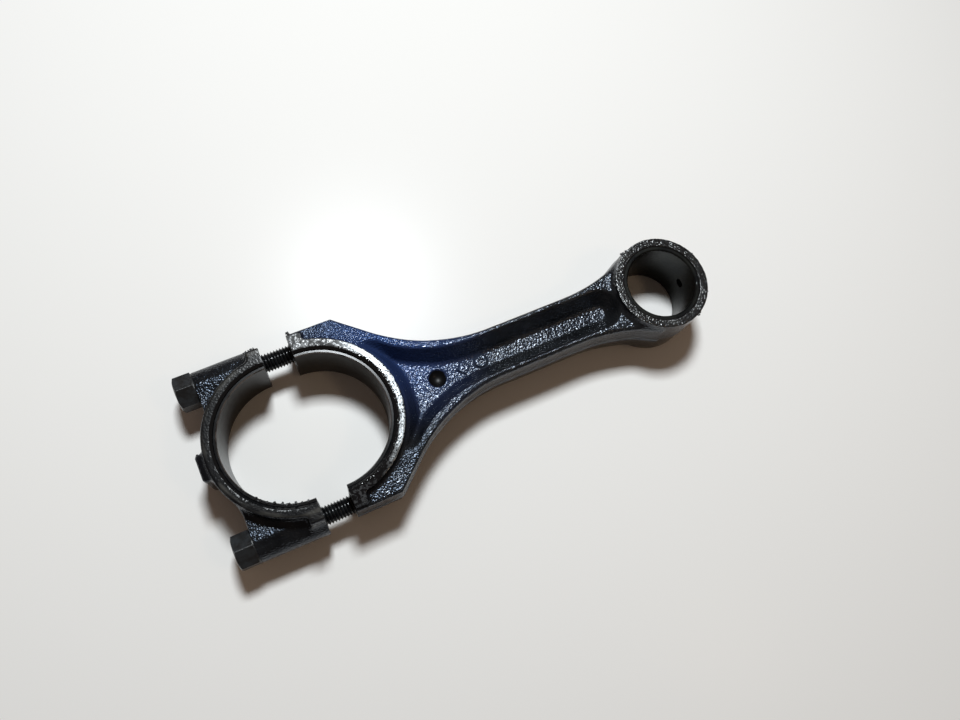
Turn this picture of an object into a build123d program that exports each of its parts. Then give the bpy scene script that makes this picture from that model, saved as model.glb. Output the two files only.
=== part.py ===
from build123d import *
import math
import os

# Connecting rod, lying flat, in millimetres.
# The origin is the centre of the big-end bore at mid-thickness, +X runs along the shank to the small end,
# and +Z runs along both bores. The cap stands drawn back from the rod on its part-unscrewed bolts.

# ---- driving dimensions -------------------------------------------------------------------------------
CENTRES = 154.0             # big-end bore to small-end bore
CAP_DRAWN_BACK = 12.0       # how far the cap stands off the rod, as stored

FACE_HALF = 14.5            # machined side faces of both ends, from mid-thickness
FORGED_HALF = 11.0          # forged top of the shank and of the bolt shoulders, from mid-thickness
WEB_HALF = 3.6              # floor of the channel, from mid-thickness
DRAFT = 3.0                 # forging draft on the outside walls, degrees

JOURNAL_R = 26.9            # inside of the bearing shells
SHELL_WALL = 1.5
SHELL_HALF = 13.2           # the shells are narrower than the rod
HOUSING_R = JOURNAL_R + SHELL_WALL
HOUSING_CHAMFER = 1.0
THRUST_R = 32.6             # outside of the machined thrust ring
TANG_WIDTH = 5.0            # locating tang of each shell, along Z
TANG_LENGTH = 4.0
TANG_HEIGHT = 0.9
TANG_Z = -5.0
TANG_CLEARANCE = 0.1

EYE_R = 20.7                # outside of the small-end eye
EYE_DRAFT = 1.0             # degrees
BUSH_OUTER_R = 16.6
PIN_R = 15.0                # piston-pin bore
BUSH_CHAMFER = 0.5
OIL_HOLE_R = 2.0            # oil hole through the tip of the eye and the bush

BOLT_Y = 33.1               # bolt axis, from the middle of the rod
THREAD_R = 4.0              # M8 bolt, plain shank in place of its thread
THREAD_CLEARANCE = 0.05
BOLT_LENGTH = 45.0          # under the head
HEAD_FLATS = 13.0
HEAD_HEIGHT = 7.9
WASHER_FACE = 0.5
HEAD_CHAMFER = 0.7
WASHER_R = 6.8
POINT_LENGTH = 1.0          # chamfered end of the bolt
POINT_DROP = 0.8
CAP_HOLE_R = 4.25
TAPPED_DEPTH = 18.5

SHOULDER_Y = 37.6           # flat outside of the bolt shoulders
SHOULDER_X = 18.8           # where the shoulder turns into the flank
FLANK_ANGLE = 41.0          # flank slope, degrees from the shank
SHANK_HALF = 10.4           # half width of the shank
FLANK_BLEND_R = 70.0
EYE_BLEND_R = 80.0

CHANNEL_HALF = 3.4          # half width of the channel floor
CHANNEL_SLOPE = 5.0         # how much the channel wall spreads from its floor to its rim
CHANNEL_START_R = 38.3      # end of the floor by the big end, about the big-end bore
CHANNEL_BLEND_X = 70.0
CHANNEL_BLEND_R = 60.0
CHANNEL_END_X = 125.3       # centre of the rounded end of the floor
FLOOR_CORNER = 17.0         # where the start arc ends, degrees about the big-end bore: floor and rim
RIM_CORNER = 36.0
FLOOR_BLEND_TURN = 33.0     # where the blend begins, degrees of its own turn: floor and rim
RIM_BLEND_TURN = 40.0

PAD_LENGTH = 5.3            # machined corner pads beside the joint face, along X
PAD_Y = 35.8
SEAT_DEPTH = 27.0           # bolt-head seat to joint face, on the cap
BOSS_R = 7.3                # round bolt boss of the cap
BOSS_ROOT_Y = 24.5          # inner end of the head seat
BOSS_ROOT_HALF = 7.2        # half height of the root that ties each boss to the ring
BOSS_ROOT_INNER_Y = 14.7
BOSS_ROOT_SINK = 0.3        # how far the root's slope starts inside the ring
BALANCE_HALF = 5.5          # balance pad on the back of the cap
BALANCE_X = 35.7
BALANCE_Z = 12.0

DIMPLE_X = 50.0             # round dimple in the channel floor
DIMPLE_R = 3.8
DIMPLE_DEPTH = 1.6
MARK_X = (61.5, 69.5)       # two plain raised forging marks in the channel
DIAMOND_SIDE = 3.3
RING_MARK_R = 2.2
RING_MARK_INNER_R = 1.2
MARK_HEIGHT = 0.5
MARK_ROOT = 0.2             # how deep the marks are sunk in the web

# ---- worked-out values --------------------------------------------------------------------------------
DRAFT_OUT = math.tan(math.radians(DRAFT))
BIG = 200.0                 # side of the cutting blocks
OVERRUN = 5.0               # how far a rough body runs past the joint face before it is cut
RIM_OVERRUN = 0.5           # how far the channel cutter runs past the forged top


def half_space(side):
    """A block that fills everything on one side of the joint plane: side 1 is the rod's, -1 the cap's."""
    return Pos(side * BIG / 2, 0, 0) * Box(BIG, BIG, BIG)


def upright(radius, half, x=0.0):
    """A cylinder along Z, centred on mid-thickness."""
    return Pos(x, 0, 0) * Cylinder(radius, 2 * half)


def along_x(radius, start, end, y):
    """A cylinder along X from start to end, at height y beside the middle."""
    return Pos((start + end) / 2, y, 0) * Rot(0, 90, 0) * Cylinder(radius, end - start)


def both_ways(outline, half, taper):
    """The outline at mid-thickness, drawn up and down with draft."""
    up = extrude(outline, amount=half, taper=taper)
    return up + mirror(up, about=Plane.XY)


def chamfered_bore(radius, half, chamfer, x=0.0):
    """A bore along Z with a chamfer at both faces."""
    bore = upright(radius, half + 1.0, x)
    rim = Pos(x, 0, half - chamfer) * Cone(
        radius, radius + chamfer + 1.0, chamfer + 1.0, align=(Align.CENTER, Align.CENTER, Align.MIN)
    )
    return bore + rim + mirror(rim, about=Plane.XY)


# ---- rod ----------------------------------------------------------------------------------------------
def shank_side():
    """One long side of the shank at mid-thickness: shoulder, flank, blend, shank, blend to the eye."""
    grow = FORGED_HALF * DRAFT_OUT
    angle = math.radians(FLANK_ANGLE)
    shoulder_y = SHOULDER_Y + grow
    shank_y = SHANK_HALF + grow
    blend_top = shank_y + FLANK_BLEND_R * (1 - math.cos(angle))
    flank_end_x = SHOULDER_X + (shoulder_y - blend_top) / math.tan(angle)
    blend_end_x = flank_end_x + FLANK_BLEND_R * math.sin(angle)
    reach = math.sqrt((EYE_BLEND_R + EYE_R) ** 2 - (EYE_BLEND_R + shank_y) ** 2)
    eye_blend_x = CENTRES - reach
    touch = EYE_R / (EYE_BLEND_R + EYE_R)
    touch_x = CENTRES - reach * touch
    touch_y = (EYE_BLEND_R + shank_y) * touch
    half_angle = angle / 2
    flank_mid = (
        blend_end_x - FLANK_BLEND_R * math.sin(half_angle),
        shank_y + FLANK_BLEND_R * (1 - math.cos(half_angle)),
    )
    eye_mid_angle = 0.5 * math.atan2(touch_x - eye_blend_x, EYE_BLEND_R + shank_y - touch_y)
    eye_mid = (
        eye_blend_x + EYE_BLEND_R * math.sin(eye_mid_angle),
        shank_y + EYE_BLEND_R * (1 - math.cos(eye_mid_angle)),
    )
    return [
        Line((-OVERRUN, shoulder_y), (SHOULDER_X, shoulder_y)),
        Line((SHOULDER_X, shoulder_y), (flank_end_x, blend_top)),
        ThreePointArc((flank_end_x, blend_top), flank_mid, (blend_end_x, shank_y)),
        Line((blend_end_x, shank_y), (eye_blend_x, shank_y)),
        ThreePointArc((eye_blend_x, shank_y), eye_mid, (touch_x, touch_y)),
    ], (touch_x, touch_y)


def shank_outline():
    side, touch = shank_side()
    low = [mirror(edge, about=Plane.XZ) for edge in side]
    close = Line(touch, (touch[0], -touch[1]))
    joint = Line((-OVERRUN, side[0].start_point().Y), (-OVERRUN, -side[0].start_point().Y))
    return make_face(side + low + [close, joint])


def channel_outline(spread):
    """The channel's outline, spread outwards from its floor, with its big-end corners cut off."""
    share = spread / CHANNEL_SLOPE
    start_r = CHANNEL_START_R - spread
    half = CHANNEL_HALF + spread
    blend_r = CHANNEL_BLEND_R - spread
    blend_y = CHANNEL_HALF + CHANNEL_BLEND_R
    start_angle = math.radians(FLOOR_CORNER + share * (RIM_CORNER - FLOOR_CORNER))
    blend_angle = math.radians(FLOOR_BLEND_TURN + share * (RIM_BLEND_TURN - FLOOR_BLEND_TURN))

    def on_blend(angle):
        return CHANNEL_BLEND_X - blend_r * math.sin(angle), blend_y - blend_r * math.cos(angle)

    start_end = (start_r * math.cos(start_angle), start_r * math.sin(start_angle))
    side = [
        Line(start_end, on_blend(blend_angle)),
        ThreePointArc(on_blend(blend_angle), on_blend(blend_angle / 2), (CHANNEL_BLEND_X, half)),
        Line((CHANNEL_BLEND_X, half), (CHANNEL_END_X, half)),
    ]
    low = [mirror(edge, about=Plane.XZ) for edge in side]
    start = ThreePointArc(start_end, (start_r, 0), (start_end[0], -start_end[1]))
    end = ThreePointArc((CHANNEL_END_X, half), (CHANNEL_END_X + half, 0), (CHANNEL_END_X, -half))
    return make_face(side + low + [start, end])


def channel():
    """The channel of one face, with sloping walls from floor to rim."""
    rim_z = FORGED_HALF + RIM_OVERRUN
    spread = CHANNEL_SLOPE * (rim_z - WEB_HALF) / (FORGED_HALF - WEB_HALF)
    floor = Pos(0, 0, WEB_HALF) * channel_outline(0.0)
    rim = Pos(0, 0, rim_z) * channel_outline(spread)
    return loft([floor, rim], ruled=True)


def corner_pads(side):
    """The four machined pads beside the joint face; side 1 is the rod's, -1 the cap's."""
    grow = FACE_HALF * math.tan(math.radians(2 * DRAFT))
    width = PAD_Y - HOUSING_R + grow
    pad = Pos(0, HOUSING_R + width / 2, 0) * Rectangle(2 * PAD_LENGTH, width)
    block = both_ways(pad, FACE_HALF, 2 * DRAFT)
    return (block + mirror(block, about=Plane.XZ)) & half_space(side)


def eye():
    return both_ways(Pos(CENTRES, 0, 0) * Circle(EYE_R), FACE_HALF, EYE_DRAFT)


def forging_marks():
    """A raised diamond and a raised ring, standing on the channel floor."""
    base = WEB_HALF - MARK_ROOT
    height = MARK_HEIGHT + MARK_ROOT
    square = Rot(0, 0, 45) * Rectangle(DIAMOND_SIDE, DIAMOND_SIDE)
    diamond = extrude(Pos(MARK_X[0], 0, base) * square, height)
    ring = extrude(Pos(MARK_X[1], 0, base) * (Circle(RING_MARK_R) - Circle(RING_MARK_INNER_R)), height)
    return diamond + ring


def dimple():
    radius = (DIMPLE_R**2 + DIMPLE_DEPTH**2) / (2 * DIMPLE_DEPTH)
    return Pos(DIMPLE_X, 0, WEB_HALF - DIMPLE_DEPTH + radius) * Sphere(radius)


def oil_hole():
    return along_x(OIL_HOLE_R, CENTRES + 0.5 * PIN_R, CENTRES + EYE_R + 5, 0)


def tang(joint_x, side, extra):
    """The locating tang of a shell, or with extra its notch in the housing."""
    length = TANG_LENGTH + extra
    reach = HOUSING_R + TANG_HEIGHT + extra
    slot = Pos(joint_x + side * length / 2, (JOURNAL_R + 0.5 + reach) / 2, TANG_Z) * Box(
        length, reach - JOURNAL_R - 0.5, TANG_WIDTH + 2 * extra
    )
    return slot & upright(reach, SHELL_HALF, joint_x)


def make_rod_forging():
    pocket = channel()
    body = both_ways(shank_outline(), FORGED_HALF, DRAFT) & half_space(1)
    body = body + eye()
    body = body + (upright(THRUST_R, FACE_HALF) & half_space(1))
    body = body + corner_pads(1)
    body = body - pocket - mirror(pocket, about=Plane.XY)
    body = body - dimple()
    marks = forging_marks()
    body = body + marks
    body = body - chamfered_bore(HOUSING_R, FACE_HALF, HOUSING_CHAMFER)
    body = body - chamfered_bore(BUSH_OUTER_R, FACE_HALF, BUSH_CHAMFER, CENTRES)
    body = body - oil_hole()
    for y in (BOLT_Y, -BOLT_Y):
        body = body - along_x(THREAD_R + THREAD_CLEARANCE, -1, TAPPED_DEPTH, y)
    return body - tang(0, 1, TANG_CLEARANCE)


# ---- cap ----------------------------------------------------------------------------------------------
def cap_boss(side):
    """One bolt boss, with the root that ties it to the ring."""
    boss = along_x(BOSS_R, -SEAT_DEPTH, 0, side * BOLT_Y)
    ring_x = math.sqrt(THRUST_R**2 - BOSS_ROOT_INNER_Y**2) - BOSS_ROOT_SINK
    root = make_face(
        Polyline(
            (0, side * BOLT_Y),
            (-SEAT_DEPTH, side * BOLT_Y),
            (-SEAT_DEPTH, side * BOSS_ROOT_Y),
            (-ring_x, side * BOSS_ROOT_INNER_Y),
            (0, side * BOSS_ROOT_INNER_Y),
            close=True,
        )
    )
    return boss + extrude(root, BOSS_ROOT_HALF, both=True)


def make_cap_forging():
    """The cap with its joint face on the plane x = 0."""
    ring = upright(THRUST_R, FACE_HALF) & half_space(-1)
    body = ring + corner_pads(-1)
    body = body + cap_boss(1) + cap_boss(-1)
    body = body + Pos(-(BALANCE_X + HOUSING_R) / 2, 0, 0) * Box(
        BALANCE_X - HOUSING_R, 2 * BALANCE_HALF, 2 * BALANCE_Z
    )
    body = body - chamfered_bore(HOUSING_R, FACE_HALF, HOUSING_CHAMFER)
    for y in (BOLT_Y, -BOLT_Y):
        body = body - along_x(CAP_HOLE_R, -SEAT_DEPTH - 1, 1, y)
    return body - tang(0, -1, TANG_CLEARANCE)


# ---- bearing shells, bush and bolts -------------------------------------------------------------------
def make_shell(side):
    """Half a bearing shell with its tang; side 1 lies in the rod, -1 in the cap."""
    ring = upright(HOUSING_R, SHELL_HALF) - upright(JOURNAL_R, SHELL_HALF + 1)
    return (ring & half_space(side)) + tang(0, side, 0.0)


def make_bush():
    bush = upright(BUSH_OUTER_R, FACE_HALF - BUSH_CHAMFER, CENTRES)
    bush = bush - chamfered_bore(PIN_R, FACE_HALF - BUSH_CHAMFER, BUSH_CHAMFER, CENTRES)
    return bush - oil_hole()


def make_bolt(y):
    """A hexagon-head bolt along +X, one corner of its head upwards, in place for a closed cap."""
    hexagon = RegularPolygon(HEAD_FLATS / 2, 6, major_radius=False, rotation=30)
    side_plane = Plane(origin=(-SEAT_DEPTH, y, 0), x_dir=(0, 1, 0), z_dir=(-1, 0, 0))
    washer = side_plane * extrude(Circle(WASHER_R), WASHER_FACE)
    head = side_plane * extrude(Pos(0, 0, WASHER_FACE) * hexagon, HEAD_HEIGHT - WASHER_FACE)
    corner_r = HEAD_FLATS / math.sqrt(3)
    rounding = side_plane * (
        Pos(0, 0, HEAD_HEIGHT / 2 - HEAD_CHAMFER) * Cylinder(corner_r + 0.1, HEAD_HEIGHT)
        + Pos(0, 0, HEAD_HEIGHT - HEAD_CHAMFER)
        * Cone(corner_r + 0.1, corner_r - 1.0, HEAD_CHAMFER, align=(Align.CENTER, Align.CENTER, Align.MIN))
    )
    head = head & rounding
    point_x = BOLT_LENGTH - SEAT_DEPTH - POINT_LENGTH
    shank = along_x(THREAD_R, -SEAT_DEPTH, point_x, y)
    point = Pos(point_x, y, 0) * Rot(0, 90, 0) * Cone(
        THREAD_R, THREAD_R - POINT_DROP, POINT_LENGTH, align=(Align.CENTER, Align.CENTER, Align.MIN)
    )
    return washer + head + shank + point


# ---- assembly -----------------------------------------------------------------------------------------
def back(solid):
    return Pos(-CAP_DRAWN_BACK, 0, 0) * solid


parts = {
    "rod_forging": make_rod_forging(),
    "rod_bearing_shell": make_shell(1),
    "small_end_bush": make_bush(),
    "cap_forging": back(make_cap_forging()),
    "cap_bearing_shell": back(make_shell(-1)),
    "left_cap_bolt": back(make_bolt(BOLT_Y)),
    "right_cap_bolt": back(make_bolt(-BOLT_Y)),
}

os.makedirs("parts", exist_ok=True)
for name, solid in parts.items():
    export_step(solid, f"parts/{name}.step")
    box = solid.bounding_box()
    print(name, len(solid.solids()), round(solid.volume), box.min, box.max)
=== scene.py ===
import math

import bpy
import numpy as np
from mathutils import Matrix, Vector


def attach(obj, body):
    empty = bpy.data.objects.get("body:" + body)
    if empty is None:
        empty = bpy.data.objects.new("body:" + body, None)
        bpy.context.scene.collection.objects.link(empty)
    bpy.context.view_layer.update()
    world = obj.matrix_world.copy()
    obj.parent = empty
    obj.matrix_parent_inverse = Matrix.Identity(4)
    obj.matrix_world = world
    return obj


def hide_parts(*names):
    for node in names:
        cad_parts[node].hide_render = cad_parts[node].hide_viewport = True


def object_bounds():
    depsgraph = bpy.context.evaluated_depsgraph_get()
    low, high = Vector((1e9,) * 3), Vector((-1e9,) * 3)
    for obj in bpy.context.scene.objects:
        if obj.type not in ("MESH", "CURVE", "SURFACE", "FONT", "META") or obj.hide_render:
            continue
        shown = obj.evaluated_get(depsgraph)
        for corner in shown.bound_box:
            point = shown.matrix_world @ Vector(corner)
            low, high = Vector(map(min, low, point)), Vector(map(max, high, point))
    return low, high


# A used connecting rod, lying flat with its cap drawn back on two part-unscrewed bolts.
# Every forged or machined piece is written as a signed distance in millimetres: below zero is metal,
# above zero is air, and the number says how far the surface is. carve() turns that into a mesh.
# X runs along the shank to the small end, Z along both bores, and the joint face of the rod is at x = 0.

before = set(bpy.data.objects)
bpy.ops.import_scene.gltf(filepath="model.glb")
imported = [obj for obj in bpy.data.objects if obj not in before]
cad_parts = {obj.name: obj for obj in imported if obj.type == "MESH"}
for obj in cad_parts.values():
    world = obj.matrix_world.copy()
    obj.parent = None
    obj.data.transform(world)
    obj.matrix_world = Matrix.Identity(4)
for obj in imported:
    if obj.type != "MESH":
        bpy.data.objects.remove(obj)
cad_low, cad_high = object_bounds()

MM = 0.001
BOX_LOW = np.array(cad_low) / MM     # nothing stands outside the part's own box
BOX_HIGH = np.array(cad_high) / MM

# ---- driving sizes, in mm -----------------------------------------------------------------------------
CENTRES = 154.0             # big-end bore to small-end bore
DRAWN_BACK = 12.0           # gap between the two joint faces
FACE_HALF = 14.5            # machined faces of both ends, from mid-thickness
FORGED_HALF = 11.0          # forged top of the shank and shoulders
WEB_HALF = 3.6              # floor of the channel
DRAFT = math.radians(3.0)

HOUSING_R = 28.4
HOUSING_CHAMFER = 1.0
JOURNAL_R = 26.9
SHELL_HALF = 13.2
SHELL_CHAMFER = 0.35
THRUST_R = 32.6
TANG_WIDTH = 5.0
TANG_LENGTH = 4.0
TANG_HEIGHT = 0.9
TANG_Z = -5.0

EYE_R = 20.6
BUSH_R = 16.6
PIN_R = 15.0
BUSH_HALF = 14.0
BUSH_CHAMFER = 0.5
OIL_HOLE_R = 2.0

BOLT_Y = 33.1
THREAD_R = 4.0
THREAD_PITCH = 1.25
THREAD_DEPTH = 0.7
THREAD_LENGTH = 26.0
BOLT_LENGTH = 45.0          # under the head
HEAD_FLATS = 13.0
HEAD_HEIGHT = 7.9
WASHER_R = 6.7
WASHER_FACE = 0.5
TAPPED_R = 4.05
TAPPED_DEPTH = 18.5
CAP_HOLE_R = 4.25

SHOULDER_Y = 37.6
SHOULDER_X = 18.8
FLANK_ANGLE = math.radians(41.0)
SHANK_HALF = 10.4
FLANK_BLEND_R = 70.0
EYE_BLEND_R = 80.0
CHANNEL_HALF = 3.4
CHANNEL_SPREAD = 5.0        # how far the channel wall leans out between its floor and its rim
CHANNEL_START_R = 38.3
CHANNEL_BLEND_X = 70.0
CHANNEL_BLEND_R = 60.0
CHANNEL_END_X = 125.3

PAD_LENGTH = 5.3
PAD_Y = 35.8
SEAT_DEPTH = 27.0
BOSS_R = 7.15
BOSS_ROOT_Y = 14.7
BOSS_ROOT_HALF = 7.0
BALANCE_X = 35.5
BALANCE_HALF = 5.4
BALANCE_Z = 12.0
SEAT_X = -DRAWN_BACK - SEAT_DEPTH
BOSS_TAPER = 0.012
PAD_LEAN = 0.1
JOINT_GAP = 0.05            # how far each rough joint face stays behind its plane
FLASH_HEIGHT = 0.28         # witness line where the forging dies met
FLASH_WIDTH = 0.5
EYE_TAPER = 0.0175
SHANK_RELIEF = 0.35         # the bolt's plain shank is this much thinner than its thread

DIMPLE_X = 50.0
DIMPLE_R = 3.8
DIMPLE_DEPTH = 1.6
DIAMOND_X = 61.5
RING_MARK_X = 69.5
MARK_R = 2.5
MARK_HEIGHT = 0.6
GRAIN = 0.64                # shot-blasted grain, drawn about twice as coarse as a real one so that it shows
# middle of the painted blue sheen on the forging, where the lamp's reflection falls
PAINTED_SHEEN_AT = (40.0, 22.0, 8.0)

FORGING_STEP = 0.55         # mesh cell of the forgings
BORED_STEP = 0.45           # of the bush
SHELL_STEPS = 120           # facets round half a shell
BOLT_STEP = 0.24            # of the bolts, fine enough for the thread


# ---- signed distances ---------------------------------------------------------------------------------
def both(a, b, r):
    """Inside both shapes, with their shared edge rounded to radius r."""
    return np.minimum(np.maximum(a, b), -r) + np.hypot(np.maximum(a + r, 0), np.maximum(b + r, 0))


def either(a, b, r):
    """Inside either shape, with a fillet of radius r between them."""
    return np.maximum(np.minimum(a, b), r) - np.hypot(np.maximum(r - a, 0), np.maximum(r - b, 0))


def lumps(x, y, z, size, seed):
    """Smooth seeded unevenness from -1 to 1, with features about size mm across."""
    table = np.random.default_rng(seed).uniform(-1, 1, (32, 32, 32))
    place = [x / size, y / size, z / size]
    cell = [np.floor(p).astype(int) for p in place]
    share = [p - c for p, c in zip(place, cell)]
    share = [s * s * (3 - 2 * s) for s in share]
    total = 0.0
    for i in (0, 1):
        for j in (0, 1):
            for k in (0, 1):
                weight = (share[0] if i else 1 - share[0]) * (share[1] if j else 1 - share[1])
                weight = weight * (share[2] if k else 1 - share[2])
                total = total + weight * table[(cell[0] + i) % 32, (cell[1] + j) % 32, (cell[2] + k) % 32]
    return total


def forged_skin(x, y, z):
    """Shallow unevenness of a forging shot-blasted after its dies."""
    slow = lumps(x + 0.4 * y, y - 0.4 * x, z, 9.0, 11)
    fine = lumps(x - 0.7 * y, y + 0.7 * x, z, 1.7, 12)
    return 0.12 * slow + 0.025 * fine


def broken_face(y, z):
    """How far the rod's rough joint face stands off its plane; the cap's face matches it."""
    flat = np.zeros_like(y)
    return 0.22 * lumps(flat, y, z, 3.0, 21) + 0.14 * lumps(flat, y, z, 1.2, 22)


def bore(x, y, z, radius, half, chamfer, centre=0.0):
    """The air in a bore along Z, with a chamfer at each face."""
    reach = np.hypot(x - centre, y)
    cone = (reach - radius - (np.abs(z) - half + chamfer)) * math.sqrt(0.5)
    return np.minimum(reach - radius, cone)


def tang(x, y, z, side, extra):
    """The shell's locating tang, or with extra its notch. x is from the joint face."""
    across = np.abs(z - TANG_Z) - TANG_WIDTH / 2 - extra
    along = np.maximum(side * x - TANG_LENGTH - extra, -side * x)
    height = np.maximum(np.hypot(x, y) - HOUSING_R - TANG_HEIGHT - extra, JOURNAL_R + 0.4 - y)
    return np.maximum(np.maximum(across, along), height)


def shank_edge(x, ay):
    """Plan outline at mid-thickness: shoulder, flank, concave blend, straight shank, blend to the eye."""
    grow = FORGED_HALF * math.tan(DRAFT)
    shoulder = SHOULDER_Y + grow
    shank = SHANK_HALF + grow
    blend_top = shank + FLANK_BLEND_R * (1 - math.cos(FLANK_ANGLE))
    flank_end = SHOULDER_X + (shoulder - blend_top) / math.tan(FLANK_ANGLE)
    blend_x = flank_end + FLANK_BLEND_R * math.sin(FLANK_ANGLE)
    across = x - blend_x
    above = shank + FLANK_BLEND_R - ay
    turn = np.arctan2(-across, above)
    flank = (x - SHOULDER_X) * math.sin(FLANK_ANGLE) + (ay - shoulder) * math.cos(FLANK_ANGLE)
    curved = FLANK_BLEND_R - np.hypot(across, above)
    side = np.where(turn > FLANK_ANGLE, flank, np.where(turn > 0, curved, ay - shank))
    reach = math.sqrt((EYE_BLEND_R + EYE_R) ** 2 - (EYE_BLEND_R + shank) ** 2)
    to_eye = x - (CENTRES - reach)
    side = np.where(to_eye > 0, EYE_BLEND_R - np.hypot(to_eye, shank + EYE_BLEND_R - ay), side)
    touch = CENTRES - reach * EYE_R / (EYE_BLEND_R + EYE_R)
    return np.maximum(both(side, ay - shoulder, 0.7), x - touch)


def channel(x, ay, az):
    """The air in one face's channel: leaning walls, filleted floor, rounded end, cut corners."""
    steepness = np.interp(x, (38.0, 62.0), (0.8, 1.0))
    spread = (az - WEB_HALF) * steepness * CHANNEL_SPREAD / (FORGED_HALF - WEB_HALF)
    lean = math.cos(math.atan2(CHANNEL_SPREAD, FORGED_HALF - WEB_HALF))
    flare = CHANNEL_BLEND_R - np.hypot(x - CHANNEL_BLEND_X, CHANNEL_HALF + CHANNEL_BLEND_R - ay)
    side = np.where(x < CHANNEL_BLEND_X, flare, ay - CHANNEL_HALF)
    side = np.where(x > CHANNEL_END_X, np.hypot(x - CHANNEL_END_X, ay) - CHANNEL_HALF, side)
    wall = (side - spread) * lean
    start = (CHANNEL_START_R - np.hypot(x, ay) - spread) * lean
    corner = (ay - 15.0 - 1.2 * (az - WEB_HALF)) * 0.64
    plan = both(both(wall, start, 1.5), corner, 1.5)
    return both(plan, WEB_HALF - az, 1.0)


def joint_pad(depth, ay, az):
    """The raised pads beside a joint face, leaning out downwards; depth is from the joint face."""
    lean = PAD_LEAN * (FACE_HALF - az)
    return np.maximum(both(depth - PAD_LENGTH - lean, ay - PAD_Y - lean, 1.0), HOUSING_R - ay)


def rod_body(x, y, z):
    """The forged rod before machining, with its dimple and the two plain raised marks."""
    ay = np.abs(y)
    az = np.abs(z)
    flash = FLASH_HEIGHT * np.exp(-((z / FLASH_WIDTH) ** 2))
    wall = (shank_edge(x, ay) + az * math.tan(DRAFT)) * math.cos(DRAFT) - flash
    rim = np.interp(x, (25.0, 55.0), (0.7, 1.5))
    body = both(wall, az - FORGED_HALF, rim)
    body = both(body, -channel(x, ay, az), 0.6)
    body = either(body, np.hypot(x, y) - THRUST_R, 2.0)
    body = either(body, joint_pad(x, ay, az), 1.5)
    eye_side = np.hypot(x - CENTRES, y) - EYE_R + EYE_TAPER * az - 0.5 * flash
    body = either(body, eye_side, 3.0)
    body = body + forged_skin(x, y, z)
    dish = (DIMPLE_R**2 + DIMPLE_DEPTH**2) / (2 * DIMPLE_DEPTH)
    dimple = np.sqrt((x - DIMPLE_X) ** 2 + y**2 + (z - WEB_HALF + DIMPLE_DEPTH - dish) ** 2) - dish
    body = both(body, -dimple, 0.2)
    diamond = (np.abs(x - DIAMOND_X) + ay) * math.sqrt(0.5) - MARK_R * math.sqrt(0.5)
    ring_mark = np.abs(np.hypot(x - RING_MARK_X, y) - 0.75 * MARK_R) - 0.25 * MARK_R
    marks = np.maximum(np.minimum(diamond, ring_mark), np.abs(z - WEB_HALF) - MARK_HEIGHT)
    return either(body, marks, 0.15)


def rod_forging(x, y, z):
    """The rod with its milled faces, joint face, bores, oil hole, tapped holes and tang notch."""
    body = both(rod_body(x, y, z), np.abs(z) - FACE_HALF, 0.45)
    body = np.maximum(body, x - CENTRES - EYE_R - 0.05)
    body = np.maximum(body, broken_face(y, z) + JOINT_GAP - x)
    body = np.maximum(body, -bore(x, y, z, HOUSING_R, FACE_HALF, HOUSING_CHAMFER))
    body = np.maximum(body, -bore(x, y, z, BUSH_R, FACE_HALF, BUSH_CHAMFER, CENTRES))
    body = np.maximum(body, -np.maximum(OIL_HOLE_R + CENTRES - x, np.hypot(y, z) - OIL_HOLE_R))
    for side in (1, -1):
        tapped = np.hypot(y - side * BOLT_Y, z) - TAPPED_R
        body = np.maximum(body, -np.maximum(tapped, x - TAPPED_DEPTH))
    return np.maximum(body, -tang(x, y, z, 1, 0.1))


def cap_forging(x, y, z):
    """The cap with its two bolt bosses, balance pad, bolt holes, housing and tang notch."""
    x = x + DRAWN_BACK
    ay = np.abs(y)
    az = np.abs(z)
    ring = np.hypot(x, y) - THRUST_R
    boss = np.hypot(ay - BOLT_Y, z) - BOSS_R - BOSS_TAPER * x
    root = both(az - BOSS_ROOT_HALF, np.maximum(ay - BOLT_Y, BOSS_ROOT_Y - ay), 1.0)
    boss = both(either(boss, root, 2.0), -SEAT_DEPTH - x, 0.5)
    balance = both(ay - BALANCE_HALF, az - BALANCE_Z, 1.4)
    balance = np.maximum(both(balance, -BALANCE_X - x, 1.4), x + HOUSING_R)
    body = either(ring, boss, 2.5)
    body = either(body, joint_pad(-x, ay, az), 1.5)
    body = either(body, balance, 2.0)
    body = body + forged_skin(x, y, z)
    body = both(body, az - FACE_HALF, 1.0)
    body = np.maximum(body, x - broken_face(y, z) + JOINT_GAP)
    body = np.maximum(body, -bore(x, y, z, HOUSING_R, FACE_HALF, HOUSING_CHAMFER))
    body = np.maximum(body, CAP_HOLE_R - np.hypot(ay - BOLT_Y, z))
    return np.maximum(body, -tang(x, y, z, -1, 0.1))


def bush(x, y, z):
    """The bush with both its chamfers and its oil hole."""
    reach = np.hypot(x - CENTRES, y)
    wall = np.maximum(reach - BUSH_R + 0.02, np.abs(z) - BUSH_HALF)
    wall = np.maximum(wall, -bore(x, y, z, PIN_R, BUSH_HALF, BUSH_CHAMFER, CENTRES))
    return np.maximum(wall, -np.maximum(CENTRES - x, np.hypot(y, z) - OIL_HOLE_R))


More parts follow.
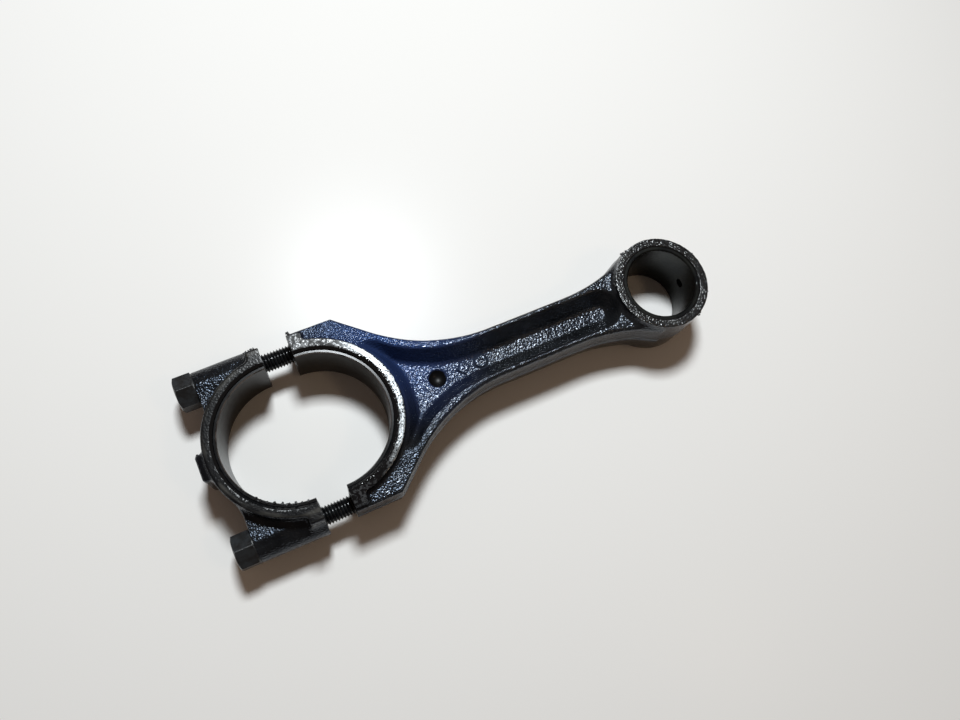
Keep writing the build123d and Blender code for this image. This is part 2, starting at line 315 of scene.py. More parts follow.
def bolt(x, y, z, side):
    """A hexagon-head bolt along X with a rolled thread, one corner of its head upwards."""
    x = x - SEAT_X
    y = y - side * BOLT_Y
    reach = np.hypot(y, z)
    flats = np.abs(y)
    for angle in (math.radians(60), math.radians(120)):
        flats = np.maximum(flats, np.abs(y * math.cos(angle) + z * math.sin(angle)))
    head_middle = -(HEAD_HEIGHT + WASHER_FACE) / 2
    ends = np.abs(x - head_middle) - (HEAD_HEIGHT - WASHER_FACE) / 2
    hexagon = both(flats - HEAD_FLATS / 2, ends, 0.2)
    crown = (-x - HEAD_HEIGHT + 0.5 * (reach - HEAD_FLATS / 2 + 0.3)) * 0.89
    head = np.maximum(hexagon, crown)
    dish = reach - 3.2 + 1.2 * (x + HEAD_HEIGHT)
    head = np.maximum(head, -np.maximum(dish, x + HEAD_HEIGHT - 0.5))
    washer = np.maximum(reach - WASHER_R, np.maximum(-WASHER_FACE - x, x))
    phase = np.mod(x / THREAD_PITCH - np.arctan2(z, y) / (2 * math.pi), 1.0)
    groove = THREAD_DEPTH * np.clip(1.35 - 2.7 * np.abs(phase - 0.5), 0, 1)
    threaded = x > BOLT_LENGTH - THREAD_LENGTH
    shank = (reach - THREAD_R + np.where(threaded, groove, SHANK_RELIEF)) * 0.75
    shank = np.maximum(np.maximum(shank, x - BOLT_LENGTH), -x - 0.1)
    shank = np.maximum(shank, (reach - THREAD_R + x - BOLT_LENGTH + 0.8) * 0.7)
    return np.minimum(np.minimum(head, washer), shank)


# ---- from a signed distance to a mesh -------------------------------------------------------------------
def slope(shape, points):
    """Unit direction in which the distance grows fastest at each point."""
    grown = []
    for axis in range(3):
        step = np.zeros(3)
        step[axis] = 0.01
        grown.append(shape(*(points + step).T) - shape(*(points - step).T))
    grown = np.array(grown).T
    return grown / np.maximum(np.linalg.norm(grown, axis=1, keepdims=True), 1e-9)


def crossings(shape, values, corner, step, axis):
    """Where the surface crosses the grid lines along one axis: their cells, points and signs."""
    first = [slice(None)] * 3
    second = [slice(None)] * 3
    first[axis] = slice(None, -1)
    second[axis] = slice(1, None)
    a = values[tuple(first)]
    b = values[tuple(second)]
    index = np.argwhere((a < 0) != (b < 0))
    low = a[tuple(index.T)]
    high = b[tuple(index.T)]
    start = corner + index * step
    near = np.zeros(len(index))
    far = np.ones(len(index))
    for _ in range(4):
        share = np.clip(near + (far - near) * low / (low - high), near, far)
        points = start.copy()
        points[:, axis] += share * step
        found = shape(*points.T)
        same = (found < 0) == (low < 0)
        near = np.where(same, share, near)
        low = np.where(same, found, low)
        far = np.where(same, far, share)
        high = np.where(same, high, found)
    return index, points, a[tuple(index.T)] < 0


def carve(shape, low, high, step):
    """Points and four-sided faces of the surface, with sharp edges kept (dual contouring)."""
    corner = np.array(low, float) - 1.3 * step
    counts = np.ceil((np.array(high, float) + 1.3 * step - corner) / step).astype(int) + 1
    grid = np.meshgrid(*[corner[i] + step * np.arange(counts[i]) for i in range(3)], indexing="ij")
    values = shape(*grid)
    cell_of = np.full(counts, -1, np.int64)
    cells = []
    places = []
    faces = []
    for axis in range(3):
        index, points, inside = crossings(shape, values, corner, step, axis)
        one = (axis + 1) % 3
        two = (axis + 2) % 3
        around = []
        for back_one, back_two in ((1, 1), (0, 1), (0, 0), (1, 0)):
            cell = index.copy()
            cell[:, one] -= back_one
            cell[:, two] -= back_two
            around.append(np.ravel_multi_index(cell.T, counts))
        cells.extend(around)
        places.extend([np.hstack([points, slope(shape, points)])] * 4)
        ring = np.stack(around, 1)
        faces.append(np.where(inside[:, None], ring, ring[:, ::-1]))
    cells = np.concatenate(cells)
    places = np.concatenate(places)
    names, member = np.unique(cells, return_inverse=True)
    share = 1.0 / np.bincount(member)
    middle = np.stack([np.bincount(member, places[:, i]) * share for i in range(3)], 1)
    normal = places[:, 3:]
    offset = np.einsum("ij,ij->i", normal, places[:, :3] - middle[member])
    square = np.empty((len(names), 3, 3))
    right = np.empty((len(names), 3))
    for i in range(3):
        right[:, i] = np.bincount(member, normal[:, i] * offset)
        for j in range(3):
            square[:, i, j] = np.bincount(member, normal[:, i] * normal[:, j])
    square += 0.04 * np.eye(3)
    move = np.linalg.solve(square, right[:, :, None])[:, :, 0]
    base = corner + np.array(np.unravel_index(names, counts)).T * step
    vertices = np.clip(middle + move, base, base + step)
    cell_of = cell_of.ravel()
    cell_of[names] = np.arange(len(names))
    return vertices, cell_of[np.concatenate(faces)]


def add_piece(name, vertices, faces, body, node, finishes, finish):
    """A mesh piece from points in mm and four-sided faces, in place of a CAD node if one is named."""
    vertices = np.clip(vertices, BOX_LOW, BOX_HIGH)
    mesh = bpy.data.meshes.new(name)
    mesh.vertices.add(len(vertices))
    mesh.vertices.foreach_set("co", (vertices * MM).ravel())
    mesh.loops.add(faces.size)
    mesh.loops.foreach_set("vertex_index", faces.ravel())
    mesh.polygons.add(len(faces))
    mesh.polygons.foreach_set("loop_start", np.arange(0, faces.size, 4))
    mesh.polygons.foreach_set("use_smooth", np.ones(len(faces), bool))
    for material in finishes:
        mesh.materials.append(material)
    mesh.polygons.foreach_set("material_index", finish)
    mesh.update(calc_edges=True)
    mesh.validate()
    mesh.set_sharp_from_angle(angle=math.radians(38))
    piece = bpy.data.objects.new(name, mesh)
    bpy.context.scene.collection.objects.link(piece)
    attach(piece, body)
    if node:
        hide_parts(node)


def build(name, shape, low, high, step, body, node, finishes, finish_of):
    """A piece carved from its distance; finish_of picks each face's finish by its middle and facing."""
    vertices, faces = carve(shape, low, high, step)
    middle = vertices[faces].mean(1)
    one_diagonal = vertices[faces[:, 2]] - vertices[faces[:, 0]]
    other_diagonal = vertices[faces[:, 3]] - vertices[faces[:, 1]]
    across = np.cross(one_diagonal, other_diagonal)
    across = across / np.maximum(np.linalg.norm(across, axis=1, keepdims=True), 1e-9)
    add_piece(name, vertices, faces, body, node, finishes, finish_of(middle, across))


def half_shell(name, joint_x, side, body, node):
    """Half a bearing shell, turned from its section, with its tang; side is 1 in the rod, -1 in the cap."""
    edge = SHELL_HALF
    cut = SHELL_CHAMFER
    section = [
        (JOURNAL_R, cut - edge), (JOURNAL_R, edge - cut),
        (JOURNAL_R + cut, edge), (HOUSING_R - cut, edge),
        (HOUSING_R, edge - cut), (HOUSING_R, cut - edge),
        (HOUSING_R - cut, -edge), (JOURNAL_R + cut, -edge),
    ]
    count = len(section)
    lining, chamfer, back = range(len(SHELL_FINISHES))
    round_section = (lining, chamfer, back, back, back, back, back, chamfer)
    vertices = []
    for i in range(SHELL_STEPS + 1):
        angle = math.pi * (i / SHELL_STEPS - 0.5)
        for r, z in section:
            vertices.append((joint_x + side * (r * math.cos(angle) + 0.03), r * math.sin(angle), z))
    faces = []
    finish = []
    for i in range(SHELL_STEPS):
        for j in range(count):
            k = (j + 1) % count
            faces.append((i * count + j, i * count + k, (i + 1) * count + k, (i + 1) * count + j))
            finish.append(round_section[j])
    for start in (0, SHELL_STEPS * count):
        for a, b, c, d in ((0, 1, 4, 5), (1, 2, 3, 4), (5, 6, 7, 0)):
            end = (start + a, start + b, start + c, start + d)
            faces.append(end[::-1] if start == 0 else end)
            finish.append(back)
    first = len(vertices)
    for x in (0.0, side * TANG_LENGTH):
        for y in (JOURNAL_R + 0.6, HOUSING_R + TANG_HEIGHT):
            for z in (TANG_Z - TANG_WIDTH / 2, TANG_Z + TANG_WIDTH / 2):
                vertices.append((joint_x + x + side * 0.03, y, z))
    for box in ((0, 1, 3, 2), (4, 6, 7, 5), (0, 4, 5, 1), (2, 3, 7, 6), (0, 2, 6, 4), (1, 5, 7, 3)):
        faces.append(tuple(first + corner for corner in box))
        finish.append(back)
    faces = np.array(faces)
    if side < 0:
        faces = faces[:, ::-1]
    add_piece(name, np.array(vertices), faces, body, node, SHELL_FINISHES, finish)


# ---- materials ------------------------------------------------------------------------------------------
# Patterns are laid out in mm: in each finish, place is a point of the piece, from the big end's middle.
SMOOTH = {"interpolation_type": "SMOOTHSTEP"}
COLOURS = {"data_type": "RGBA"}


def linear(hex_colour):
    """Linear colour of an sRGB hex value."""
    parts = [int(hex_colour[i:i + 2], 16) / 255 for i in (1, 3, 5)]
    return tuple(c / 12.92 if c <= 0.04045 else ((c + 0.055) / 1.055) ** 2.4 for c in parts) + (1.0,)


def in_use(sockets, name=None):
    """The first socket that the node's settings leave in use, of that name if one is given."""
    return next(socket for socket in sockets if socket.enabled and name in (None, socket.name))


def add_node(tree, kind, inputs=None, **settings):
    """Adds a node with its settings; an input takes a value, a socket, or the result of another node."""
    node = tree.nodes.new(kind)
    for key, value in settings.items():
        setattr(node, key, value)
    for key, value in (inputs or {}).items():
        socket = node.inputs[key] if isinstance(key, int) else in_use(node.inputs, key)
        if isinstance(value, bpy.types.Node):
            value = in_use(value.outputs)
        if isinstance(value, bpy.types.NodeSocket):
            tree.links.new(value, socket)
        else:
            socket.default_value = value
    return node


def new_material(name, finish):
    """A material whose shader takes the inputs that finish(tree, place) works out."""
    material = bpy.data.materials.new(name)
    material.use_nodes = True
    tree = material.node_tree
    tree.nodes.clear()
    metres = add_node(tree, "ShaderNodeTexCoord").outputs["Object"]
    place = add_node(tree, "ShaderNodeVectorMath", {0: metres, "Scale": 1 / MM}, operation="SCALE")
    shader = add_node(tree, "ShaderNodeBsdfPrincipled", finish(tree, place))
    add_node(tree, "ShaderNodeOutputMaterial", {"Surface": shader})
    return material


def blotches(tree, place, size, low, high):
    """A 0 to 1 mask of blotches about size mm across; low and high set how much of it is 1."""
    noise = add_node(tree, "ShaderNodeTexNoise", {"Vector": place, "Scale": 1 / size, "Detail": 3.0})
    return add_node(tree, "ShaderNodeMapRange", {"Value": noise, "From Min": low, "From Max": high})


def mottled(tree, place, size, low, high, ground, spots):
    """A ground colour with blotches of another colour, about size mm across."""
    mask = blotches(tree, place, size, low, high)
    return add_node(tree, "ShaderNodeMix", {
        "Factor": mask, "A": linear(ground), "B": linear(spots)}, **COLOURS)


def grain_bump(tree, place, size, depth, detail=1.0):
    """Bump of a grain about size mm across and depth mm deep."""
    noise = add_node(tree, "ShaderNodeTexNoise", {"Vector": place, "Scale": 1 / size, "Detail": detail})
    return add_node(tree, "ShaderNodeBump", {"Height": noise, "Distance": depth * MM, "Strength": 1.0})


def turned(tree, place, centre_x, stretch):
    """Radius from a bore's axis, and a place that stretches a pattern that many times round the axis."""
    moved = add_node(tree, "ShaderNodeVectorMath", {0: place, 1: (centre_x, 0, 0)}, operation="SUBTRACT")
    flat = add_node(tree, "ShaderNodeVectorMath", {0: moved, 1: (1, 1, 0)}, operation="MULTIPLY")
    radius = add_node(tree, "ShaderNodeVectorMath", {0: flat}, operation="LENGTH")
    x, y, z = add_node(tree, "ShaderNodeSeparateXYZ", {0: moved}).outputs
    angle = add_node(tree, "ShaderNodeMath", {0: y, 1: x}, operation="ARCTAN2")
    along = add_node(tree, "ShaderNodeMath", {0: angle, 1: THRUST_R / stretch}, operation="MULTIPLY")
    return radius, add_node(tree, "ShaderNodeCombineXYZ", {"X": along, "Y": radius, "Z": z})


def clear_of_marks(tree, place):
    """0 in the thick oil round the outlines of the two raised marks, 1 elsewhere."""
    moved = add_node(tree, "ShaderNodeVectorMath", {0: place, 1: (DIAMOND_X, 0, 0)}, operation="SUBTRACT")
    x, y, z = add_node(tree, "ShaderNodeSeparateXYZ", {0: moved}).outputs
    along = add_node(tree, "ShaderNodeMath", {0: x}, operation="ABSOLUTE")
    across = add_node(tree, "ShaderNodeMath", {0: y}, operation="ABSOLUTE")
    diamond = add_node(tree, "ShaderNodeMath", {0: along, 1: across}, operation="ADD")
    flat = add_node(tree, "ShaderNodeVectorMath", {0: place, 1: (1, 1, 0)}, operation="MULTIPLY")
    ring = add_node(tree, "ShaderNodeVectorMath", {0: flat, 1: (RING_MARK_X, 0, 0)}, operation="DISTANCE")
    outlines = []
    for reach, oil_line in ((diamond, MARK_R + 0.4), (ring, MARK_R + 0.3)):
        outside = add_node(tree, "ShaderNodeMath", {0: reach, 1: oil_line}, operation="SUBTRACT")
        outlines.append(add_node(tree, "ShaderNodeMath", {0: outside}, operation="ABSOLUTE"))
    nearest = add_node(tree, "ShaderNodeMath", {0: outlines[0], 1: outlines[1]}, operation="MINIMUM")
    return add_node(tree, "ShaderNodeMapRange", {
        "Value": nearest, "From Min": 0.4, "From Max": 0.8}, **SMOOTH)


def oiled_forging(tree, place):
    # Drop-forged steel, shot-blasted and wet with black engine oil: near black and sparkling on its grain,
    # with a painted blue sheen in its colour and reflection tint beside the big end, where the lamp shines
    # back.
    # Oil lies thick and dull round the raised marks.
    black = mottled(tree, place, 9.0, 0.40, 0.62, "#18191B", "#0C0D0F")
    # painted sheen: colour and reflection tint turn blue towards this point, standing in for the lamp's
    # reflection
    away = add_node(tree, "ShaderNodeVectorMath", {0: place, 1: PAINTED_SHEEN_AT}, operation="DISTANCE")
    painted_sheen = add_node(tree, "ShaderNodeMapRange", {
        "Value": away, "From Min": 8.0, "From Max": 46.0, "To Min": 1.0, "To Max": 0.0}, **SMOOTH)
    x, y, z = add_node(tree, "ShaderNodeSeparateXYZ", {0: place}).outputs
    web = add_node(tree, "ShaderNodeMapRange", {
        "Value": x, "From Min": 32.0, "From Max": 42.0}, **SMOOTH)
    wet = add_node(tree, "ShaderNodeMath", {
        0: blotches(tree, place, 7.0, 0.52, 0.62), 1: 0.5}, operation="MULTIPLY")
    wet = add_node(tree, "ShaderNodeMath", {0: web, 1: wet}, operation="MAXIMUM")
    wet = add_node(tree, "ShaderNodeMapRange", {"Value": wet, "To Min": 0.06, "To Max": 0.40})
    clear = clear_of_marks(tree, place)
    grain = grain_bump(tree, place, GRAIN, 0.25, 0.0)
    return {
        "Base Color": add_node(tree, "ShaderNodeMix", {
            "Factor": painted_sheen, "A": black, "B": linear("#1F2D50")}, **COLOURS),
        "Specular Tint": add_node(tree, "ShaderNodeMix", {
            "Factor": painted_sheen, "A": linear("#CEE2FF"), "B": linear("#89B3FF")}, **COLOURS),
        "Specular IOR Level": 0.32,
        "Roughness": add_node(tree, "ShaderNodeMapRange", {"Value": clear, "To Min": 0.8, "To Max": 0.24}),
        "Normal": grain,
        "Coat Weight": add_node(tree, "ShaderNodeMath", {0: clear, 1: wet}, operation="MULTIPLY"),
        "Coat Roughness": 0.06,
        "Coat Normal": grain,
    }


def worn_thrust_face(tree, place):
    # Milled steel worn bright round the outside of the thrust ring. Black oil stays inside it, in its pits
    # and by the right split, and by the left split it is matt and grey.
    radius, around = turned(tree, place, 0.0, 1.6)
    x, y, z = add_node(tree, "ShaderNodeSeparateXYZ", {0: place}).outputs
    ragged = add_node(tree, "ShaderNodeMath", {
        0: blotches(tree, around, 1.5, 0.3, 0.7), 1: 0.6, 2: radius}, operation="MULTIPLY_ADD")
    inside = add_node(tree, "ShaderNodeMapRange", {
        "Value": ragged, "From Min": 30.4, "From Max": 31.0, "To Min": 1.0, "To Max": 0.0}, **SMOOTH)
    right_split = add_node(tree, "ShaderNodeMapRange", {
        "Value": y, "From Min": -31.0, "From Max": -18.0, "To Min": 1.0, "To Max": 0.0}, **SMOOTH)
    right_split = add_node(tree, "ShaderNodeMath", {
        0: right_split, 1: blotches(tree, place, 1.6, 0.42, 0.52)}, operation="MULTIPLY")
    by_joint = add_node(tree, "ShaderNodeMapRange", {
        "Value": x, "From Min": 14.0, "From Max": 26.0, "To Min": 1.0, "To Max": 0.0}, **SMOOTH)
    dull = add_node(tree, "ShaderNodeMath", {0: by_joint, 1: 0.85}, operation="MULTIPLY")
    grime = add_node(tree, "ShaderNodeMath", {
        0: blotches(tree, around, 3.5, 0.47, 0.60), 1: 0.35, 2: dull}, operation="MULTIPLY_ADD")
    for mask in (blotches(tree, around, 0.6, 0.50, 0.58), inside, right_split):
        grime = add_node(tree, "ShaderNodeMath", {0: grime, 1: mask}, operation="MAXIMUM", use_clamp=True)
    left = add_node(tree, "ShaderNodeMapRange", {
        "Value": y, "From Min": 0.0, "From Max": 10.0}, **SMOOTH)
    left_split = add_node(tree, "ShaderNodeMath", {0: by_joint, 1: left}, operation="MULTIPLY")
    spots = add_node(tree, "ShaderNodeMapRange", {
        "Value": blotches(tree, place, 1.3, 0.42, 0.56), "To Min": 0.12, "To Max": 0.48})
    gloss = add_node(tree, "ShaderNodeMapRange", {"Value": grime, "To Min": 0.42, "To Max": 0.09})
    return {
        "Base Color": add_node(tree, "ShaderNodeMix", {
            "Factor": grime, "A": linear("#8E9193"), "B": linear("#0B0C0E")}, **COLOURS),
        "Metallic": add_node(tree, "ShaderNodeMath", {0: 1.0, 1: grime}, operation="SUBTRACT"),
        "Roughness": add_node(tree, "ShaderNodeMath", {
            0: left_split, 1: spots, 2: gloss}, operation="MULTIPLY_ADD"),
        "Specular IOR Level": 0.4,
        "Normal": grain_bump(tree, place, GRAIN, 0.06),
    }


def smeared_face(tree, place):
    # The cap's milled face, grey-black with old oil wiped round it, a little lighter by its outer edge.
    radius, around = turned(tree, place, -DRAWN_BACK, 5.0)
    rim = add_node(tree, "ShaderNodeMapRange", {
        "Value": radius, "From Min": 30.0, "From Max": 31.2}, **SMOOTH)
    wiped = add_node(tree, "ShaderNodeMath", {
        0: blotches(tree, around, 2.2, 0.46, 0.66), 1: rim}, operation="MULTIPLY")
    return {
        "Base Color": add_node(tree, "ShaderNodeMix", {
            "Factor": wiped, "A": linear("#0F1012"), "B": linear("#3A3936")}, **COLOURS),
        "Roughness": 0.26,
        "Specular IOR Level": 0.2,
        "Normal": grain_bump(tree, place, 0.8, 0.08),
    }


def oily_face(tree, place):
    # Milled steel of the small end that stayed under thick black oil, wet enough to sparkle.
    return {
        "Base Color": mottled(tree, place, 1.4, 0.50, 0.66, "#0F1113", "#222528"),
        "Roughness": 0.22,
        "Specular IOR Level": 0.6,
        "Normal": grain_bump(tree, place, GRAIN, 0.24, 0.0),
    }


def pooled_oil(tree, place):
    # Black oil standing in the drilled dimple: the blackest spot of the web.
    return {"Base Color": linear("#08090B"), "Roughness": 0.35, "Specular IOR Level": 0.15}


def broken_steel(tree, place):
    # Bare steel of the rough joint faces: grey grain with dark oil in its hollows.
    return {
        "Base Color": mottled(tree, place, 2.5, 0.4, 0.6, "#5C5F62", "#1E1F21"),
        "Metallic": 0.6,
        "Roughness": 0.45,
        "Normal": grain_bump(tree, place, 0.8, 0.3),
    }


def bored_steel(tree, place):
    # A bored steel wall under a black oil film, smooth and glossy.
    return {
        "Base Color": linear("#0F1012"),
        "Roughness": 0.16,
        "Specular IOR Level": 0.4,
        "Normal": grain_bump(tree, place, 1.0, 0.05),
    }


def bearing_lining(tree, place):
    # Aluminium-tin lining, broached and run in: satin grey under thin dark oil, with painted shade
    # blackening it on the left side towards the joint, where the wall faces away from the lamp.
    radius, around = turned(tree, place, 0.0, 4.0)
    x, y, z = add_node(tree, "ShaderNodeSeparateXYZ", {0: place}).outputs
    left = add_node(tree, "ShaderNodeMapRange", {
        "Value": y, "From Min": -2.0, "From Max": 20.0}, **SMOOTH)
    by_joint = add_node(tree, "ShaderNodeMapRange", {
        "Value": x, "From Min": -2.0, "From Max": 20.0, "To Min": 1.0, "To Max": 0.0}, **SMOOTH)
    # This mask is painted shade: it blackens the lining's left side near the joint, turned away from the
    # lamp.
    oil = add_node(tree, "ShaderNodeMath", {0: left, 1: by_joint}, operation="MULTIPLY")
    satin = mottled(tree, around, 6.0, 0.40, 0.65, "#424647", "#26292B")
    return {
        "Base Color": add_node(tree, "ShaderNodeMix", {
            "Factor": oil, "A": satin, "B": linear("#0B0C0D")}, **COLOURS),
        "Metallic": 1.0,
        "Roughness": 0.34,
    }


def rubbed_edge(tree, place):
    # The thin chamfers inside a bearing shell, wiped bright.
    return {
        "Base Color": mottled(tree, place, 5.0, 0.42, 0.60, "#B8BCBE", "#55585A"),
        "Metallic": 1.0,
        "Roughness": 0.3,
    }


def shell_back(tree, place):
    # The edges and steel back of a bearing shell, black and glossy with old oil.
    return {
        "Base Color": mottled(tree, place, 1.6, 0.5, 0.66, "#0C0D0F", "#1B1D1F"),
        "Roughness": 0.18,
        "Specular IOR Level": 0.4,
    }


def bush_bronze(tree, place):
    # A bored bronze bush, almost black under old oil, with a dull metal sheen.
    return {
        "Base Color": mottled(tree, place, 8.0, 0.4, 0.65, "#242624", "#131618"),
        "Metallic": 0.7,
        "Roughness": 0.3,
        "Normal": grain_bump(tree, place, 1.5, 0.05),
    }


def bolt_steel(tree, place):
    # Quenched bolt steel, blackened, oily and streaked with grime.
    return {
        "Base Color": mottled(tree, place, 3.0, 0.42, 0.62, "#1F2326", "#111315"),
        "Roughness": 0.34,
        "Specular IOR Level": 0.6,
        "Normal": grain_bump(tree, place, 0.9, 0.12),
    }


def thread_steel(tree, place):
    # The rolled thread and the shank, wet with black oil that glints on the crests.
    return {
        "Base Color": mottled(tree, place, 2.0, 0.4, 0.6, "#1C1E20", "#0D0E10"),
        "Metallic": 0.2,
        "Roughness": 0.2,
    }


def dry_grime(tree, place):
    # Crumbs of baked oil and swarf, matt and near black.
    return {
        "Base Color": linear("#1D1E20"),
        "Roughness": 0.5,
        "Normal": grain_bump(tree, place, 0.5, 0.1),
    }


def painted_board(tree, place):
    # A pale painted board, slightly glossy, so that the lamp shows in it as a soft glare.
    return {"Base Color": linear("#E9E7E4"), "Roughness": 0.26, "Specular IOR Level": 0.09}


SKIN = new_material("shot-blasted forging under black oil", oiled_forging)
BRIGHT = new_material("milled steel worn bright with grime", worn_thrust_face)
OILY = new_material("milled steel under black oil", oily_face)
BROKEN = new_material("rough joint face of steel", broken_steel)
BORED = new_material("bored steel under black oil", bored_steel)
SMEARED = new_material("milled steel smeared with old oil", smeared_face)
POOLED = new_material("black oil pooled in the dimple", pooled_oil)
LINING = new_material("run-in aluminium-tin bearing lining", bearing_lining)
SHELL_EDGE = new_material("bright chamfer of a bearing shell", rubbed_edge)
SHELL_BACK = new_material("steel shell edge under old oil", shell_back)
BRONZE = new_material("bored bronze bush under old oil", bush_bronze)
BOLT_HEAD = new_material("blackened bolt steel under oil", bolt_steel)
THREAD = new_material("rolled thread under black oil", thread_steel)
GRIME = new_material("baked oil and swarf", dry_grime)
BOARD = new_material("pale gloss-painted board", painted_board)

ROD_FINISHES = (SKIN, BRIGHT, OILY, BROKEN, BORED, POOLED)
CAP_FINISHES = (SKIN, SMEARED, BROKEN, BORED)
SHELL_FINISHES = (LINING, SHELL_EDGE, SHELL_BACK)
BOLT_FINISHES = (BOLT_HEAD, THREAD)


# ---- which finish each face of a piece has ----------------------------------------------------------------
def is_milled(middle, across):
    """Faces of the flat milled tops and bottoms of both ends."""
    return (np.abs(middle[:, 2]) > FACE_HALF - 0.25) & (np.abs(across[:, 2]) > 0.85)


def in_bore(middle, across, centre_x, radius):
    """Wall faces inside a bore along Z."""
    return (np.abs(across[:, 2]) < 0.9) & (np.hypot(middle[:, 0] - centre_x, middle[:, 1]) < radius)


def rod_finish(middle, across):
    """Forged skin, with milled faces, the rough joint face, oily bores and the dimple's oil."""
    x, y, z = middle.T
    milled = is_milled(middle, across)
    finish = np.full(len(middle), ROD_FINISHES.index(SKIN))
    finish[milled & (x < 60)] = ROD_FINISHES.index(BRIGHT)
    finish[milled & (x > 100)] = ROD_FINISHES.index(OILY)
    finish[(x < 0.7) & (across[:, 0] < -0.5)] = ROD_FINISHES.index(BROKEN)
    housing = in_bore(middle, across, 0.0, HOUSING_R + HOUSING_CHAMFER) & (x > 0.3)
    eye = in_bore(middle, across, CENTRES, BUSH_R + BUSH_CHAMFER)
    finish[housing | eye] = ROD_FINISHES.index(BORED)
    dimple = (np.hypot(x - DIMPLE_X, y) < DIMPLE_R) & (z > 0) & (z < WEB_HALF - 0.25)
    finish[dimple] = ROD_FINISHES.index(POOLED)
    return finish


def cap_finish(middle, across):
    """Forged skin, with smeared milled faces, the rough joint face and the oily housing."""
    x = middle[:, 0] + DRAWN_BACK
    finish = np.full(len(middle), CAP_FINISHES.index(SKIN))
    finish[is_milled(middle, across)] = CAP_FINISHES.index(SMEARED)
    finish[(x > -0.7) & (across[:, 0] > 0.5)] = CAP_FINISHES.index(BROKEN)
    housing = in_bore(middle, across, -DRAWN_BACK, HOUSING_R + HOUSING_CHAMFER) & (x < -0.3)
    finish[housing] = CAP_FINISHES.index(BORED)
    return finish


def bush_finish(middle, across):
    """One finish all over."""
    return np.zeros(len(middle), int)


def bolt_finish(middle, across):
    """Blackened down to the bolt seat, wet thread steel under it."""
    under_head = middle[:, 0] > -DRAWN_BACK - SEAT_DEPTH
    return np.where(under_head, BOLT_FINISHES.index(THREAD), BOLT_FINISHES.index(BOLT_HEAD))


# ---- the pieces -----------------------------------------------------------------------------------------
build("connecting_rod_forging", rod_forging, (0, -SHOULDER_Y - 0.6, -FACE_HALF),
      (CENTRES + EYE_R + 0.3, SHOULDER_Y + 0.6, FACE_HALF), FORGING_STEP,
      "rod", "rod_forging", ROD_FINISHES, rod_finish)
build("big_end_cap", cap_forging, (-DRAWN_BACK - BALANCE_X - 0.2, -BOLT_Y - BOSS_R - 0.15, -FACE_HALF),
      (-DRAWN_BACK + 0.5, BOLT_Y + BOSS_R + 0.15, FACE_HALF), FORGING_STEP,
      "cap", "cap_forging", CAP_FINISHES, cap_finish)
half_shell("rod_side_shell", 0.0, 1, "rod", "rod_bearing_shell")
half_shell("cap_side_shell", -DRAWN_BACK, -1, "cap", "cap_bearing_shell")
build("piston_pin_bush", bush, (CENTRES - BUSH_R, -BUSH_R, -BUSH_HALF),
      (CENTRES + BUSH_R, BUSH_R, BUSH_HALF), BORED_STEP,
      "rod", "small_end_bush", (BRONZE,), bush_finish)
for side, name in ((1, "left"), (-1, "right")):
    build(name + "_big_end_bolt", lambda x, y, z: bolt(x, y, z, side),
          (SEAT_X - 9, side * BOLT_Y - 7, -7.6),
          (SEAT_X + BOLT_LENGTH + 0.1, side * BOLT_Y + 7, 7.6), BOLT_STEP,
          name + "_bolt", name + "_cap_bolt", BOLT_FINISHES, bolt_finish)


def crumbs(name, body, spots, seed):
    """Angular crumbs of grime; each spot is its middle, its spread and how many, in mm."""
    chance = np.random.default_rng(seed)
    vertices = []
    faces = []
    for centre, spread, count in spots:
        for i in range(count):
            middle = np.array(centre) + np.array(spread) * chance.uniform(-1, 1, 3)
            size = chance.uniform(0.25, 0.6)
            first = len(vertices)
            for corner in range(8):
                side = np.array([corner & 1, corner >> 1 & 1, corner >> 2]) * 2 - 1
                vertices.append(middle + size * side * chance.uniform(0.3, 1.0, 3))
            for box in ((0, 2, 3, 1), (4, 5, 7, 6), (0, 1, 5, 4), (2, 6, 7, 3), (0, 4, 6, 2), (1, 3, 7, 5)):
                faces.append([first + corner for corner in box])
    finish = np.zeros(len(faces), int)
    add_piece(name, np.array(vertices), np.array(faces), body, None, (GRIME,), finish)


rod_spots = [
    ((0.9, 37.2, 13.2), (0.5, 0.7, 0.3), 5),
    ((145.0, 18.6, 13.0), (1.5, 0.6, 0.4), 6),
    ((134.6, 7.6, 13.4), (0.8, 2.0, 0.3), 5),
    ((162.0, -18.4, 13.0), (1.6, 0.7, 0.5), 8),
    ((173.6, 5.0, 13.0), (0.3, 2.5, 0.5), 4),
    ((171.2, -10.0, 13.0), (0.5, 1.5, 0.5), 4),
]
cap_spots = [
    ((-15.2, 36.2, 12.6), (2.2, 0.5, 1.0), 12),
    ((-46.6, 5.4, 9.5), (0.4, 0.5, 0.8), 4),
    ((-14.2, -31.6, 14.0), (1.2, 1.6, 0.2), 8),
]
for degrees in range(222, 266, 5):
    turn = math.radians(degrees)
    spot = (JOURNAL_R * math.cos(turn) - DRAWN_BACK, JOURNAL_R * math.sin(turn) - 0.2, 13.3)
    cap_spots.append((spot, (1.2, 0.2, 0.2), 2))
crumbs("rod_crumbs", "rod", rod_spots, 31)
crumbs("cap_crumbs", "cap", cap_spots, 32)


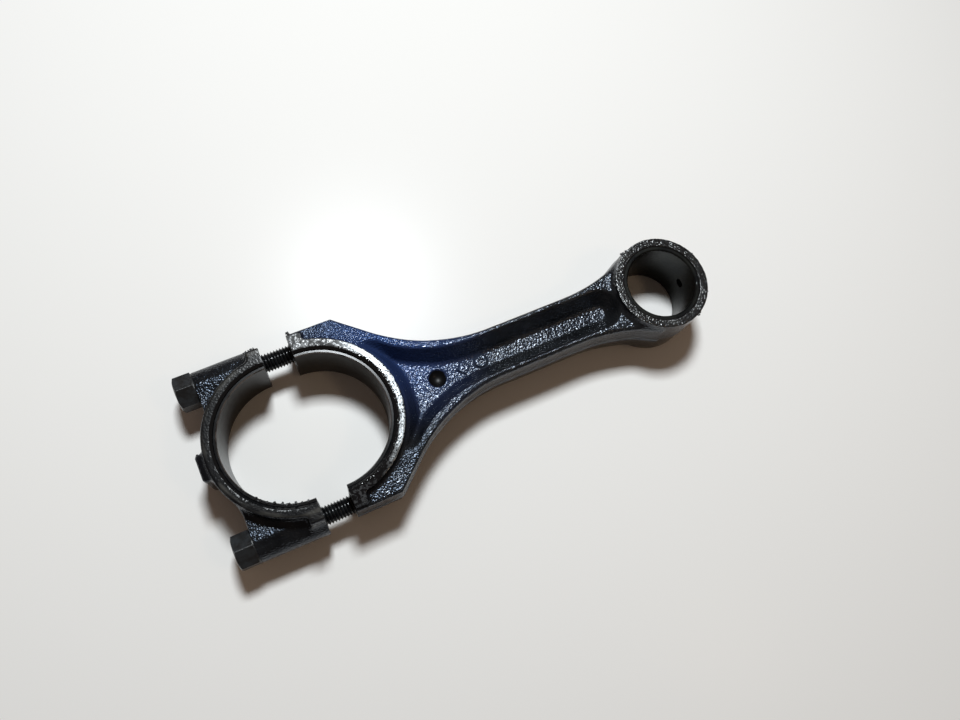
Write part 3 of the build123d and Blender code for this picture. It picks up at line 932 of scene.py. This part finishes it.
# ---- floor, lamps and camera ----------------------------------------------------------------------------
def flat_square(name, half, z, material):
    mesh = bpy.data.meshes.new(name)
    corners = [(-half, -half, z), (half, -half, z), (half, half, z), (-half, half, z)]
    mesh.from_pydata(corners, [], [(0, 1, 2, 3)])
    mesh.materials.append(material)
    piece = bpy.data.objects.new(name, mesh)
    bpy.context.scene.collection.objects.link(piece)
    return piece


FLOOR_HALF = 3.0            # m
FLOOR_GAP = 0.05 * MM       # keeps the board from meeting the part's milled faces
flat_square("floor", FLOOR_HALF, cad_low.z - FLOOR_GAP, BOARD)


def lamp(name, place, target, size, power, colour):
    """A square soft lamp aimed at a point; metres and watts."""
    light = bpy.data.lights.new(name, "AREA")
    light.shape = "SQUARE"
    light.size = size
    light.energy = power
    light.color = linear(colour)[:3]
    piece = bpy.data.objects.new(name, light)
    piece.location = place
    piece.rotation_euler = (Vector(place) - Vector(target)).to_track_quat("Z", "Y").to_euler()
    bpy.context.scene.collection.objects.link(piece)


lamp("main_lamp", (0.15, 0.35, 0.80), (0.06, 0.06, 0.0), 0.16, 8.5, "#F2F9FD")
lamp("warm_lamp", (0.42, -0.34, 0.80), (0.10, -0.05, 0.0), 0.12, 0.3, "#FFDDB3")

world = bpy.data.worlds.new("room")
world.use_nodes = True
room_light = world.node_tree.nodes["Background"].inputs
room_light["Color"].default_value = linear("#FFDFC8")
room_light["Strength"].default_value = 0.12
bpy.context.scene.world = world
bpy.context.scene.view_settings.view_transform = "Standard"

CAMERA_AT = Vector((-7.70, -69.25, 314.55)) * MM
LOOKS_AT = Vector((70.43, 1.38, 0.0)) * MM
CAMERA_LEAN = math.radians(24.48)
facing = (LOOKS_AT - CAMERA_AT).to_track_quat("-Z", "Y").to_matrix() @ Matrix.Rotation(CAMERA_LEAN, 3, "Z")
camera = bpy.data.objects.new("camera", bpy.data.cameras.new("camera"))
camera.data.lens = 29.63
camera.data.sensor_width = 36.0
camera.data.clip_start = 0.01
camera.matrix_world = Matrix.Translation(CAMERA_AT) @ facing.to_4x4()
bpy.context.scene.collection.objects.link(camera)
bpy.context.scene.camera = camera
